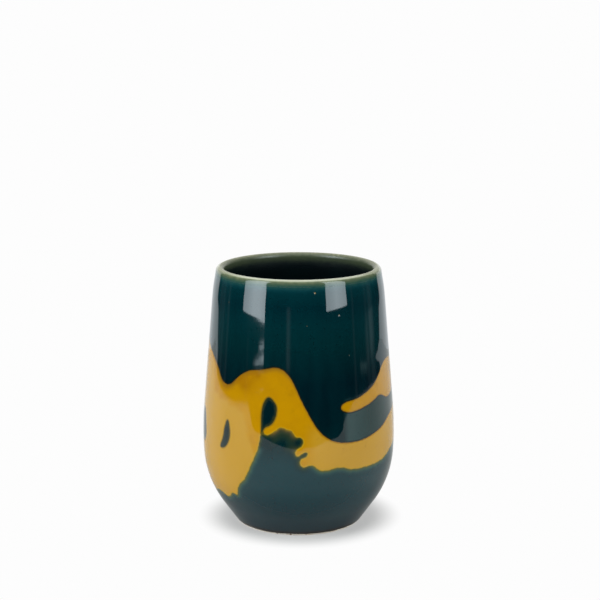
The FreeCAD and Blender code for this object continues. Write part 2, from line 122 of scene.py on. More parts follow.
def cloud(tree, size, detail=2, stretch=(1, 1, 1), offset=(0, 0, 0)):
    """Soft random cloud from 0 to 1, its lumps about one size across."""
    mapping = tree.nodes.new("ShaderNodeMapping")
    feed(mapping.inputs["Vector"], place_on_cup(tree))
    mapping.inputs["Scale"].default_value = [1 / (size * across) for across in stretch]
    mapping.inputs["Location"].default_value = offset
    noise = tree.nodes.new("ShaderNodeTexNoise")
    feed(noise.inputs["Vector"], Result(mapping.outputs["Vector"]))
    noise.inputs["Scale"].default_value = 1
    noise.inputs["Detail"].default_value = detail
    return Result(noise.outputs["Fac"])


def fade(value, start, end):
    """0 where the value is at start, 1 where it is at end, smooth between."""
    if not isinstance(value, Result):
        share = np.clip((value - start) / (end - start), 0, 1)
        return share * share * (3 - 2 * share)
    node = value.tree.nodes.new("ShaderNodeMapRange")
    node.interpolation_type = "SMOOTHSTEP"
    feed(node.inputs["Value"], value)
    node.inputs["From Min"].default_value = start
    node.inputs["From Max"].default_value = end
    return Result(node.outputs["Result"])


def lay_over(amount, under, over):
    """One colour laid over another by an amount."""
    node = amount.tree.nodes.new("ShaderNodeMix")
    node.data_type = "RGBA"
    feed(node.inputs[0], amount)
    feed(node.inputs[6], under)
    feed(node.inputs[7], over)
    return Result(node.outputs[2])


def roughen(shader, *layers):
    """Lets fine relief tilt the surface: each layer is a cloud and its depth."""
    below = None
    for height, depth in layers:
        bump = height.tree.nodes.new("ShaderNodeBump")
        bump.inputs["Distance"].default_value = depth
        feed(bump.inputs["Height"], height)
        if below is not None:
            feed(bump.inputs["Normal"], below)
        below = Result(bump.outputs["Normal"])
    feed(shader.inputs["Normal"], below)


clay_cream = tint(228, 217, 202)
clay_toasted = tint(206, 186, 162)
clay_iron = tint(120, 84, 58)
clay_roughness = 0.82
clay_grain = 0.25 * MM
clay_grain_depth = 0.03 * MM
clay_speck = 0.7 * MM
clay_blotch = 6 * MM

bare_clay, tree, shader = new_finish("bare_fired_stoneware")
blotchy = fade(cloud(tree, clay_blotch), 0.35, 0.75)
specks = fade(cloud(tree, clay_speck, detail=0, offset=(7, 3, 1)), 0.7, 0.78)
feed(shader.inputs["Base Color"], lay_over(specks, lay_over(blotchy, clay_cream, clay_toasted), clay_iron))
feed(shader.inputs["Roughness"], clay_roughness)
roughen(shader, (cloud(tree, clay_grain, detail=3), clay_grain_depth))

clay_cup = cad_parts["stoneware_body"]
clay_cup.data.materials.clear()
clay_cup.data.materials.append(bare_clay)


# ---- Liner glaze
# Near-black green glaze, poured into the cup, rolled round and tipped out, so that it
# coats the floor and the inside wall up to the lip.  The rings that the fingers left in
# the clay, winding down to a spiral on the floor, still show through it.
rim_height = 112.8 * MM
wall_thickness = 3.1 * MM
belly_radius = 41.5 * MM
belly_height = 39.3 * MM
belly_bend_radius = 149 * MM
wall_taper = math.radians(4.75)
lip_bend_height = 97.6 * MM
lip_bend_radius = 205 * MM
turn_radius = 42 * MM
flare = math.radians(54.7)
foot_radius = 27.2 * MM
foot_height = 0.6 * MM
floor_height = 5 * MM
floor_corner_radius = 9 * MM


def polar(centre, radius, angle):
    """The point at a distance and an angle from a centre, in section."""
    return (centre[0] + radius * math.cos(angle), centre[1] + radius * math.sin(angle))


class WallFace:
    """One face of the wall in section, at a distance out from the clay's outside."""

    def __init__(self, out):
        self.belly_bend = belly_bend_radius + out
        self.turn_bend = turn_radius + out
        self.lip_bend = lip_bend_radius + out
        self.belly_centre = (belly_radius - belly_bend_radius, belly_height)
        self.wall_low = polar(self.belly_centre, self.belly_bend, wall_taper)
        clay_low = polar(self.belly_centre, belly_bend_radius, wall_taper)
        clay_high = (clay_low[0] - (lip_bend_height - clay_low[1]) * math.tan(wall_taper), lip_bend_height)
        self.lip_centre = polar(clay_high, -lip_bend_radius, wall_taper)
        self.wall_high = polar(self.lip_centre, self.lip_bend, wall_taper)
        self.normal = flare - math.pi / 2
        self.corner = polar((foot_radius, foot_height), out, self.normal)
        start = polar(self.corner, -self.turn_bend, self.normal)
        across = start[0] - self.belly_centre[0]
        up = start[1] - self.belly_centre[1]
        along = across * math.cos(flare) + up * math.sin(flare)
        gap = self.belly_bend - self.turn_bend
        reach = math.sqrt(along ** 2 - across ** 2 - up ** 2 + gap ** 2) - along
        self.turn_centre = polar(start, reach, flare)
        turn_angle = math.atan2(self.turn_centre[1] - self.belly_centre[1],
                                self.turn_centre[0] - self.belly_centre[0])
        self.flare_high = polar(self.turn_centre, self.turn_bend, self.normal)
        self.turn_high = polar(self.turn_centre, self.turn_bend, turn_angle)

    def at(self, heights):
        """Radius and slant of the face's normal at heights, from the foot up."""
        heights = np.asarray(heights, float)
        radius = self.corner[0] + (heights - self.corner[1]) / math.tan(flare)
        slant = np.full(len(heights), self.normal)
        arcs = [
            (self.flare_high[1], self.turn_centre, self.turn_bend),
            (self.turn_high[1], self.belly_centre, self.belly_bend),
            (self.wall_high[1], self.lip_centre, self.lip_bend),
        ]
        ends = [start for start, centre, bend in arcs[1:]] + [math.inf]
        for (start, centre, bend), end in zip(arcs, ends):
            on_arc = (heights >= start) & (heights < end)
            rise = np.arcsin((heights[on_arc] - centre[1]) / bend)
            slant[on_arc] = rise
            radius[on_arc] = centre[0] + bend * np.cos(rise)
        straight = (heights >= self.wall_low[1]) & (heights < self.wall_high[1])
        radius[straight] = self.wall_low[0] - (heights[straight] - self.wall_low[1]) * math.tan(wall_taper)
        slant[straight] = wall_taper
        return radius, slant


def new_mesh(name, finish, points, faces):
    """A smooth mesh with one finish."""
    mesh = bpy.data.meshes.new(name)
    mesh.from_pydata(points, [], faces)
    mesh.polygons.foreach_set("use_smooth", [True] * len(faces))
    mesh.materials.append(finish)
    return mesh


def set_down(name, data):
    """A new thing in the scene: a mesh, a lamp or a camera."""
    thing = bpy.data.objects.new(name, data)
    bpy.context.scene.collection.objects.link(thing)
    return thing


sharp_angle = math.radians(38)


def turned_piece(name, finish, rows):
    """Closed turned piece from rows of points round it, each row one ring or one pole."""
    points, rings, faces = [], [], []
    for row in rows:
        rings.append(list(range(len(points), len(points) + len(row))))
        points.extend(row)
    for lower, upper in zip(rings, rings[1:] + rings[:1]):
        count = max(len(lower), len(upper))
        for here in range(count if count > 1 else 0):
            after = (here + 1) % count
            if len(lower) == 1:
                faces.append((lower[0], upper[after], upper[here]))
            elif len(upper) == 1:
                faces.append((lower[here], lower[after], upper[0]))
            else:
                faces.append((lower[here], lower[after], upper[after], upper[here]))
    mesh = new_mesh(name, finish, points, faces)
    mesh.set_sharp_from_angle(angle=sharp_angle)
    return set_down(name, mesh)


def mark(piece, name, values):
    """Keeps one number for each point of a piece, for its finish to read."""
    attribute = piece.data.attributes.new(name, "FLOAT", "POINT")
    attribute.data.foreach_set("value", np.asarray(values, np.float32))


def marked(tree, name):
    """The number that was kept on the piece."""
    node = tree.nodes.new("ShaderNodeAttribute")
    node.attribute_name = name
    return Result(node.outputs["Fac"])


def colour_scale(value, stops):
    """Colour by a value from 0 up, through the stops given as (value, colour)."""
    span = stops[-1][0]
    node = value.tree.nodes.new("ShaderNodeValToRGB")
    feed(node.inputs["Fac"], value / span)
    marks = node.color_ramp.elements
    for place, (at, colour) in zip(marks, (stops[0], stops[-1])):
        place.position, place.color = at / span, colour
    for at, colour in stops[1:-1]:
        marks.new(at / span).color = colour
    return Result(node.outputs["Color"])


def shades(*stops):
    """Stops for a colour scale, each a value and its red, green and blue on a screen."""
    return [(at, tint(red, green, blue)) for at, red, green, blue in stops]


glaze_refraction = 1.5


def gloss(shader, colour, roughness):
    """A glaze: coloured glass."""
    feed(shader.inputs["Base Color"], colour)
    feed(shader.inputs["Roughness"], roughness)
    feed(shader.inputs["IOR"], glaze_refraction)


liner_thickness = 0.4 * MM
lip_glaze_thickness = 0.28 * MM
liner_top = 109.1 * MM
ring_pitch = 5.2 * MM
ring_depth = 0.11 * MM
ring_divisions = 240

clay_inside = WallFace(-wall_thickness)
corner_start = polar(clay_inside.corner, -floor_corner_radius, clay_inside.normal)
corner_rise = floor_height + floor_corner_radius - corner_start[1]
corner_centre = polar(corner_start, corner_rise / math.sin(flare), flare)
corner_high = polar(corner_centre, floor_corner_radius, clay_inside.normal)

# the clay's inside face in section, from the middle of the floor up to the lip: place and
# the direction that points into the cup
floor_rows, corner_rows, wall_rows = 34, 14, 92
floor_across = np.linspace(0, corner_centre[0], floor_rows)
corner_turn = np.linspace(-math.pi / 2, clay_inside.normal, corner_rows)[1:]
wall_rise = np.linspace(corner_high[1], liner_top, wall_rows)[1:]
wall_radius, wall_slant = clay_inside.at(wall_rise)
section_radius = np.concatenate([
    floor_across, corner_centre[0] + floor_corner_radius * np.cos(corner_turn), wall_radius])
section_height = np.concatenate([
    np.full(len(floor_across), floor_height), corner_centre[1] + floor_corner_radius * np.sin(corner_turn),
    wall_rise])
section_slant = np.concatenate([np.full(len(floor_across), -math.pi / 2), corner_turn, wall_slant])
section_run = np.concatenate([[0], np.cumsum(np.hypot(np.diff(section_radius), np.diff(section_height)))])

turn = np.arange(ring_divisions) / ring_divisions * 2 * math.pi


def around(radius, turns):
    """Across and deep of points at a radius, by their turn from the front."""
    return radius * np.sin(turns), -radius * np.cos(turns)


def ring_points(radius, height):
    """Points round the cup at one radius and height for each turn; one point on the axis."""
    radius = np.broadcast_to(radius, turn.shape)
    height = np.broadcast_to(height, turn.shape)
    if radius.max() < 0.001 * MM:
        return [(0, 0, float(height[0]))]
    return list(zip(*around(radius, turn), height))


rows = []
for radius, height, slant, run in zip(section_radius, section_height, section_slant, section_run):
    # the rings wander a little in width, and a finer set runs across them
    wave = np.sin(2 * math.pi * run / ring_pitch + turn + 0.8 * np.sin(run / (13 * MM)))
    wave = wave + 0.35 * np.sin(2 * math.pi * run / (ring_pitch * 0.43) + 3 * turn + 1.7)
    shown = fade(run, 2 * MM, 7 * MM) * fade(height, 104 * MM, 92 * MM)
    coat = liner_thickness + (lip_glaze_thickness - liner_thickness) * fade(height, 102 * MM, liner_top)
    coat = coat + ring_depth * shown * wave
    rows.append(ring_points(radius - coat * math.cos(slant), height - coat * math.sin(slant)))
for radius, height in zip(section_radius[::-1], section_height[::-1]):
    rows.append(ring_points(radius, height))

# colours by millimetres down from the crest of the lip, the same on the lip glaze
inside_scale = shades(
    (0, 156, 156, 124), (1.4, 112, 114, 90), (2.6, 72, 80, 58), (3.7, 66, 74, 54),
    (4.8, 42, 50, 40), (5.9, 20, 28, 27), (7.2, 9, 17, 19), (16.0, 6, 14, 16))
liner_green = tint(10, 27, 27)

dark_liner, tree, shader = new_finish("dark_liner_glaze")
down_inside = marked(tree, "run_down")
ragged = 2.0 * (cloud(tree, 3 * MM, detail=3) - 0.5)
pooled = fade(cloud(tree, 14 * MM, offset=(2, 0, 5)), 0.35, 0.7)
colour = lay_over(0.3 * pooled, colour_scale(down_inside + ragged, inside_scale), liner_green)
gloss(shader, colour, 0.07 + 0.29 * fade(down_inside, 12, 5))
roughen(shader, (cloud(tree, 1.1 * MM), 0.0015 * MM))

liner = turned_piece("liner_glaze_skin", dark_liner, rows)
crest_height = rim_height - wall_thickness / 2
crest_bend = wall_thickness / 2 + lip_glaze_thickness
heights = np.array([vertex.co.z for vertex in liner.data.vertices])
mark(liner, "run_down", (crest_height - heights + crest_bend * math.pi / 2) / MM)
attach(liner, "root")
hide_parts("liner_glaze")


# ---- Teal coat and mustard pour
# The outside is dipped in dark teal glaze.  While it is still wet a mustard glaze is
# poured round the cup and runs in a broad band with a second arm on the right; it lies a
# hair prouder than the teal and leaves islands of teal where the two ran round each other.
teal_thickness = 0.5 * MM
pour_rise = 0.02 * MM
lip_line = 110.3 * MM
foot_line = 0.6 * MM

# the edges of the pour, as pairs: degrees round the cup from the front, share of the rim height
pour_top_shares = [
    # the shoulder on the left, the notch and the hump in front
    (-90.6, 0.742), (-75.5, 0.709), (-64.3, 0.673), (-58, 0.639), (-53.9, 0.607), (-47.8, 0.594),
    (-41.7, 0.618), (-36.6, 0.644), (-30.6, 0.663), (-22.5, 0.672), (-14.5, 0.683), (-9.4, 0.675),
    # down along the broad arm to the right
    (-4.4, 0.643), (0.6, 0.578), (6.6, 0.503), (12.6, 0.443), (19.6, 0.408), (27.6, 0.394),
    (39.6, 0.393), (49.6, 0.405), (59.4, 0.423), (68.2, 0.447), (79.4, 0.465), (91.8, 0.488),
    # round the end of the teal pocket and back under the narrow arm
    (101, 0.520), (97.9, 0.549), (85.6, 0.536), (75.3, 0.522), (66.3, 0.521), (58.4, 0.540),
    (51.5, 0.529), (42.6, 0.514), (34.6, 0.505), (28.6, 0.508),
    # the tip of the narrow arm and its upper side
    (25.6, 0.525), (27.6, 0.542), (35.6, 0.551), (44.6, 0.568), (51.5, 0.588), (57.4, 0.616),
    (63.3, 0.649), (70.1, 0.665), (81.4, 0.662),
    # across the back
    (100, 0.651), (122, 0.658), (145, 0.640), (165, 0.618), (185, 0.612), (205, 0.640),
    (225, 0.694), (245, 0.739), (258, 0.751),
]
pour_base_shares = [
    # the broad run on the left
    (-87.1, 0.143), (-73.5, 0.139), (-65.2, 0.154), (-58.4, 0.153), (-51, 0.147), (-45.8, 0.170),
    (-42.2, 0.168), (-39.1, 0.206), (-34, 0.241), (-29.5, 0.292), (-25.5, 0.347), (-23, 0.397),
    # the lump that stays teal under the drop
    (-22, 0.427), (-20, 0.430), (-17.5, 0.430), (-13.9, 0.444), (-10.4, 0.459), (-6.9, 0.454),
    (-3.9, 0.446), (-1.4, 0.426), (1.6, 0.422), (2.6, 0.405), (0.1, 0.384), (-1.9, 0.373),
    # two small fingers
    (-1.4, 0.355), (1.1, 0.357), (4.1, 0.369), (5.1, 0.361), (3.1, 0.348), (0.6, 0.334),
    (2.6, 0.311), (7.1, 0.318), (9.6, 0.309),
    # the lower side of the broad arm
    (13.6, 0.294), (19.6, 0.297), (25.6, 0.299), (31.6, 0.287), (41.6, 0.283), (51.5, 0.284),
    (61.4, 0.293), (71.2, 0.313), (83.5, 0.327),
    # across the back
    (95.9, 0.319), (110, 0.287), (122, 0.294), (136, 0.264), (150, 0.272), (166, 0.242),
    (180, 0.248), (195, 0.217), (210, 0.214), (226, 0.180), (240, 0.184), (256, 0.154),
]
drop_shares = [
    (-18, 0.570), (-15, 0.559), (-12.9, 0.535), (-13, 0.510), (-14.5, 0.483),
    (-17, 0.465), (-19.8, 0.455), (-21.7, 0.439), (-22.1, 0.462), (-22.2, 0.492),
    (-21.8, 0.524), (-20.5, 0.553),
]
slit_shares = [
    (-46.3, 0.460), (-44.4, 0.433), (-44.2, 0.397), (-46, 0.369), (-49.3, 0.350),
    (-52.3, 0.350), (-50.8, 0.376), (-49.2, 0.409), (-48.3, 0.437),
]
patch_shares = [
    (-85, 0.458), (-77, 0.459), (-73.7, 0.416), (-72.5, 0.371), (-75.2, 0.341),
    (-83.2, 0.331), (-90.6, 0.346), (-93.4, 0.391), (-91.5, 0.436),
]
# pinholes: degrees round the cup, height, radius
pinholes = [
    (10.7, 107.9 * MM, 0.50 * MM), (26.5, 98.2 * MM, 0.36 * MM), (-51.5, 101.6 * MM, 0.24 * MM),
    (5.3, 94.4 * MM, 0.20 * MM), (32.6, 81.0 * MM, 0.20 * MM), (133.0, 95.0 * MM, 0.34 * MM),
    (204.0, 88.5 * MM, 0.28 * MM), (171.0, 41.0 * MM, 0.30 * MM), (-96.0, 103.0 * MM, 0.24 * MM),
]

# the teal's face in section, finely stepped: place, slant of its normal, run up the face,
# and the plan radius that lets the face lie flat without a seam
teal_face = WallFace(teal_thickness)
face_steps = 6001
face_height = np.linspace(foot_line - 0.4 * MM, lip_line, face_steps)
face_radius, face_slant = teal_face.at(face_height)
steps_up = np.hypot(np.diff(face_radius), np.diff(face_height))
face_run = np.concatenate([[0], np.cumsum(steps_up)])
middle_radius = (face_radius[1:] + face_radius[:-1]) / 2
face_plan = np.concatenate([[0], np.cumsum(steps_up / middle_radius)])
face_plan = np.exp(face_plan - face_plan[-1])


def run_at(height):
    """How far up the teal's face a height is."""
    return np.interp(height, face_height, face_run)


def on_face(turns, runs):
    """Points on the teal's face."""
    radius = np.interp(runs, face_run, face_radius)
    return np.stack([*around(radius, turns), np.interp(runs, face_run, face_height)], axis=1)


def in_plan(turns, runs):
    """The same points laid flat, the foot in the middle and the lip outside."""
    return np.stack(around(np.interp(runs, face_run, face_plan), turns), axis=1)


def closed_curve(knots, values, count):
    """Smooth closed curve through values at knots, as count points; the last knot closes it."""
    gaps = np.diff(knots)
    size = len(values)
    system = np.zeros((size, size))
    pull = np.zeros((size, values.shape[1]))
    following = np.roll(values, -1, axis=0)
    before = np.roll(values, 1, axis=0)
    for here in range(size):
        gap, gap_before = gaps[here], gaps[here - 1]
        system[here, here - 1] += gap_before
        system[here, here] += 2 * (gap_before + gap)
        system[here, (here + 1) % size] += gap
        step, step_before = following[here] - values[here], values[here] - before[here]
        pull[here] = 6 * (step / gap - step_before / gap_before)
    bend = np.linalg.solve(system, pull)
    at = np.linspace(0, knots[-1], count, endpoint=False)
    span = np.clip(np.searchsorted(knots, at, side="right") - 1, 0, size - 1)
    gap = gaps[span][:, None]
    ahead = (knots[span + 1] - at)[:, None]
    behind = (at - knots[span])[:, None]
    low, high = values[span], following[span]
    bend_low, bend_high = bend[span], np.roll(bend, -1, axis=0)[span]
    return (bend_low * ahead ** 3 / (6 * gap) + bend_high * behind ** 3 / (6 * gap)
            + (low / gap - bend_low * gap / 6) * ahead + (high / gap - bend_high * gap / 6) * behind)


edge_step = 0.32 * MM
curve_points = 9000


def pour_edge(shares, wobble):
    """Points of one closed edge of the pour, evenly spaced, as turns and runs."""
    angles = np.radians([degrees for degrees, share in shares])
    rises = np.array([share for degrees, share in shares]) * rim_height
    marks = np.stack([*around(belly_radius, angles), rises], axis=1)
    chords = np.linalg.norm(np.roll(marks, -1, axis=0) - marks, axis=1)
    knots = np.concatenate([[0], np.cumsum(np.sqrt(chords))])
    curve = closed_curve(knots, marks, curve_points)
    turns = np.unwrap(np.arctan2(curve[:, 0], -curve[:, 1]))
    runs = run_at(curve[:, 2])
    line = on_face(turns, runs)
    lengths = np.linalg.norm(np.diff(np.vstack([line, line[:1]]), axis=0), axis=1)
    along = np.concatenate([[0], np.cumsum(lengths)])
    whole = along[-1]
    count = int(whole / edge_step)
    at = np.arange(count) * whole / count
    closing = 2 * math.pi * round((turns[-1] - turns[0]) / (2 * math.pi))
    turns = np.interp(at, along, np.append(turns, turns[0] + closing))
    runs = np.interp(at, along, np.append(runs, runs[0]))
    # the edge isn't cut clean: it wavers a little, more where the glaze ran down
    radius = np.interp(runs, face_run, face_radius)
    going_round = np.gradient(turns) * radius
    going_up = np.gradient(runs)
    speed = np.hypot(going_round, going_up)
    sway = np.zeros(count)
    for length, share, phase in ((4.7 * MM, 0.5, 0.3), (2.6 * MM, 0.35, 1.9), (1.5 * MM, 0.25, 4.0)):
        waves = max(3, round(whole / length))
        drift = 2.5 * np.sin(2 * math.pi * 3 * at / whole + phase)
        sway += share * np.sin(2 * math.pi * waves * at / whole + phase + drift)
    turns = turns + wobble * sway * going_up / speed / radius
    runs = runs - wobble * sway * going_round / speed
    return turns, runs


edges = {
    "pour_top": pour_edge(pour_top_shares, 0.05 * MM),
    "pour_base": pour_edge(pour_base_shares, 0.14 * MM),
    "drop": pour_edge(drop_shares, 0.05 * MM),
    "slit": pour_edge(slit_shares, 0.05 * MM),
    "patch": pour_edge(patch_shares, 0.08 * MM),
}


class EdgeLine:
    """Edge lines on the face, to tell how far a point is from the nearest one."""

    def __init__(self, names):
        here, before, after = [], [], []
        for name in names:
            line = on_face(*edges[name])
            here.append(line)
            before.append(np.roll(line, 1, axis=0))
            after.append(np.roll(line, -1, axis=0))
        self.here, self.before, self.after = map(np.vstack, (here, before, after))
        self.tree = KDTree(len(self.here))
        for index, point in enumerate(self.here):
            self.tree.insert(point, index)
        self.tree.balance()

    def nearest(self, points):
        """Distance of each point from the line and the direction away from it."""
        found = np.array([self.tree.find(point)[1] for point in points])
        best = np.full(len(points), np.inf)
        closest = np.zeros_like(points)
        for other in (self.before, self.after):
            start = self.here[found]
            stretch = other[found] - start
            share = np.einsum("ij,ij->i", points - start, stretch) / np.einsum("ij,ij->i", stretch, stretch)
            foot = start + np.clip(share, 0, 1)[:, None] * stretch
            gap = np.linalg.norm(points - foot, axis=1)
            closer = gap < best
            best[closer] = gap[closer]
            closest[closer] = foot[closer]
        away = points - closest
        return best, away / np.maximum(best, 1e-9)[:, None]


any_line = EdgeLine(edges)


def foot_run(turns):
    """Run of the glaze's wavy lower edge, just above the bare foot."""
    wave = 0.05 * np.sin(3 * turns + 0.6) + 0.04 * np.sin(7 * turns + 2.1)
    wave = wave + 0.03 * np.sin(13 * turns + 4) + 0.02 * np.sin(29 * turns + 1)
    return run_at(foot_line + wave * MM)


def spaced_round(count, shift=0):
    """Turns of points evenly round the cup, shifted by a share of their spacing."""
    return (np.arange(count) + shift) * 2 * math.pi / count


# points spread over the face, closer together near an edge
top_run = face_run[-1]
edge_clearance = 0.17 * MM
pinhole_clearance = 1.05 * MM
# rings of points round each pinhole: millimetres out from its middle, points in the ring
pinhole_rings = [(0, 1), (0.12, 6), (0.24, 10), (0.38, 14), (0.54, 16), (0.78, 18)]
bead_rows = [0, 0.05 * MM, 0.14 * MM, 0.28 * MM, 0.5 * MM, 0.85 * MM]
spread_turns, spread_runs = [], []
bounds_turns, bounds_runs = [], []
foot_points, lip_points = 400, 240
for number, rise in enumerate(bead_rows):
    turns = spaced_round(foot_points, number % 2 / 2)
    (spread_turns if rise else bounds_turns).append(turns)
    (spread_runs if rise else bounds_runs).append(foot_run(turns) + rise)
bounds_turns.append(spaced_round(lip_points))
bounds_runs.append(np.full(lip_points, top_run))

pinhole_points = on_face(np.radians([degrees for degrees, height, hole in pinholes]),
                         run_at(np.array([height for degrees, height, hole in pinholes])))
# how far apart the points are, from and to a distance from the nearest edge
spacings = [(0.46 * MM, 0, 1.5 * MM), (1.0 * MM, 1.5 * MM, 4.5 * MM), (1.9 * MM, 4.5 * MM, math.inf)]
for spacing, nearest, farthest in spacings:
    row_gap = spacing * math.sqrt(0.75)
    first, last = bead_rows[-1] + row_gap, top_run - run_at(foot_line) - row_gap * 0.9
    rows_up = int((last - first) / row_gap)
    kept_turns, kept_runs = [], []
    for number in range(rows_up + 1):
        rise = first + (last - first) * number / rows_up
        radius = float(np.interp(run_at(foot_line) + rise, face_run, face_radius))
        turns = spaced_round(round(2 * math.pi * radius / spacing), number % 2 / 2)
        settle = 1 - rise / last
        kept_turns.append(turns)
        kept_runs.append(run_at(foot_line) + rise + settle * (foot_run(turns) - run_at(foot_line)))
    kept_turns, kept_runs = np.concatenate(kept_turns), np.concatenate(kept_runs)
    places = on_face(kept_turns, kept_runs)
    clear = any_line.nearest(places)[0]
    keep = (clear >= nearest) & (clear < farthest) & (clear > edge_clearance)
    for spot in pinhole_points:
        keep &= np.linalg.norm(places - spot, axis=1) > pinhole_clearance
    spread_turns.append(kept_turns[keep])
    spread_runs.append(kept_runs[keep])
for (degrees, height, hole), spot in zip(pinholes, pinhole_points):
    radius = math.hypot(spot[0], spot[1])
    for out, count in pinhole_rings:
        angle = spaced_round(count, out)
        spread_turns.append(math.radians(degrees) + out * MM * np.cos(angle) / radius)
        spread_runs.append(run_at(height) + out * MM * np.sin(angle))

# the whole face in one sheet of triangles that keeps every edge
sheet_turns, sheet_runs, kept_lines = [], [], []
for turns, runs in list(zip(bounds_turns, bounds_runs)) + list(edges.values()):
    first = sum(len(part) for part in sheet_turns)
    sheet_turns.append(turns)
    sheet_runs.append(runs)
    kept_lines += [(first + n, first + (n + 1) % len(turns)) for n in range(len(turns))]
sheet_turns = np.concatenate(sheet_turns + spread_turns)
sheet_runs = np.concatenate(sheet_runs + spread_runs)
plan = in_plan(sheet_turns, sheet_runs)
made = delaunay_2d_cdt([tuple(point) for point in plan], kept_lines, [], 0, 1e-9, True)
order = np.array([source[0] for source in made[3]])
if not len(made[0]) == len(set(order)) == len(plan):
    raise RuntimeError("two points of the glaze's face fall together")
triangles = order[np.array(made[2])]


def inside(points, line):
    """Whether flat points are inside a closed flat line."""
    result = np.zeros(len(points), bool)
    start, end = line, np.roll(line, -1, axis=0)
    for chunk in np.array_split(np.arange(len(points)), max(1, len(points) // 4000)):
        x, y = points[chunk, 0][:, None], points[chunk, 1][:, None]
        spans = (start[:, 1] > y) != (end[:, 1] > y)
        rise = np.where(end[:, 1] == start[:, 1], 1, end[:, 1] - start[:, 1])
        crossing = start[:, 0] + (y - start[:, 1]) * (end[:, 0] - start[:, 0]) / rise
        result[chunk] = (np.sum(spans & (x < crossing), axis=1) % 2) == 1
    return result


middles = plan[triangles].mean(axis=1)
within = {name: inside(middles, in_plan(*line)) for name, line in edges.items()}
foot_hole = inside(middles, in_plan(bounds_turns[0], bounds_runs[0]))
island = within["drop"] | within["slit"] | within["patch"]
parts = {
    "teal_upper_glaze": ~within["pour_top"],
    "teal_foot_glaze": within["pour_base"] & ~foot_hole,
    "teal_drop_glaze": within["drop"],
    "teal_slit_glaze": within["slit"],
    "teal_patch_glaze": within["patch"],
    "mustard_glaze": within["pour_top"] & ~within["pour_base"] & ~island,
}

# outward direction, distance from the edges and depth of glaze at every point
face_points = on_face(sheet_turns, sheet_runs)
slants = np.interp(sheet_runs, face_run, face_slant)
outward = np.stack([*around(np.cos(slants), sheet_turns), np.sin(slants)], axis=1)
upward = np.stack([*around(-np.sin(slants), sheet_turns), np.cos(slants)], axis=1)
from_lower, away_lower = EdgeLine(("pour_base", "drop", "slit", "patch")).nearest(face_points)
from_foot = sheet_runs - foot_run(sheet_turns)
run_down = (top_run - sheet_runs + crest_height - lip_line + crest_bend * math.pi / 2) / MM


def bell(distance, width):
    """A rounded step that starts and ends level: its height and its slope."""
    share = np.clip(distance / width, 0, 1)
    return fade(share, 0, 1), 6 * share * (1 - share) / width


# the lip end thins out to meet the lip glaze, the foot end rounds off to nothing
lip_thinning = 7 * MM
pinhole_depth = 0.22
pinhole_steepness = 1.5
lip_share, lip_slope = bell(top_run - sheet_runs, lip_thinning)
depth = lip_glaze_thickness + (teal_thickness - lip_glaze_thickness) * lip_share
tilt = -(teal_thickness - lip_glaze_thickness) * lip_slope[:, None] * upward
foot_bead = 0.45 * MM
foot_edge_depth = 0.06 * MM
steepest_bead = 0.98
bead = np.clip(1 - from_foot / foot_bead, 0, steepest_bead)
round_off = np.sqrt(1 - bead ** 2)
round_off = np.where(from_foot < 0.01 * MM, 0, round_off)
depth = foot_edge_depth + (depth - foot_edge_depth) * round_off
bead_slope = np.where(from_foot < foot_bead, bead / np.sqrt(1 - bead ** 2) / foot_bead, 0)
tilt = tilt + (teal_thickness * bead_slope)[:, None] * upward
for spot, (degrees, height, hole) in zip(pinhole_points, pinholes):
    away = face_points - spot
    gap = np.linalg.norm(away, axis=1)
    pit = pinhole_depth * hole * np.exp(-(gap / hole * pinhole_steepness) ** 2)
    depth = depth - pit
    tilt = tilt + (pit * 2 * pinhole_steepness ** 2 / hole ** 2)[:, None] * away
hole_gap = np.min([np.linalg.norm(face_points - spot, axis=1) / hole
                   for spot, (degrees, height, hole) in zip(pinhole_points, pinholes)], axis=0)
# the pour swells to a soft bead along its lower edges, where it ran and stopped
swelling_width, settling_width = 2.4 * MM, 3.0 * MM
pour_share, pour_slope = bell(from_lower, swelling_width)
settle_share, settle_slope = bell(from_lower - swelling_width, settling_width)
pour_depth = depth + pour_rise * (pour_share - settle_share)
pour_tilt = tilt + (pour_rise * (pour_slope - settle_slope))[:, None] * away_lower


def distance_from(*names):
    """Distance of every point of the face from the nearest of some edges, in millimetres."""
    return EdgeLine(names).nearest(face_points)[0] / MM


# marks that the finishes read: degrees round the cup from the front, and height in millimetres
wrapped = (np.degrees(sheet_turns) + 180) % 360 - 180
rise = face_points[:, 2] / MM
# the slow run under the drop, and its stain
soft_run = fade(wrapped, -18, -13) * fade(wrapped, 0, -5) * fade(rise, 40, 44)
# where the two glazes mixed between the arms, and where the mustard lay thick on the hump
pocket = fade(wrapped, 26.5, 31) * fade(wrapped, 108, 96) * fade(rise, 41, 45) * fade(rise, 64, 60)
lump = fade(wrapped, -25, -23) * fade(wrapped, 6, 3) * fade(rise, 41.5, 43.5)
lump = np.maximum(lump, 0.85 * fade(wrapped, -18, -12) * fade(wrapped, 9, 4))
hump = fade(wrapped, -72, -58) * fade(wrapped, 2, -14)
# painted reflection of the table, lighter and bluer, down the left and along the arms on the right
reflection_edge = np.interp(rise, [37, 46, 52, 56, 58.5, 60, 62, 72], [-25, -30, -32, -34, -41, -52, -62, -64])
painted_reflection = fade(wrapped, reflection_edge + 1.5, reflection_edge - 1.5)
painted_reflection = np.maximum(painted_reflection, fade(wrapped, 2, 12) * fade(rise, 56, 47))
painted_reflection = painted_reflection * fade(rise, 80, 68)
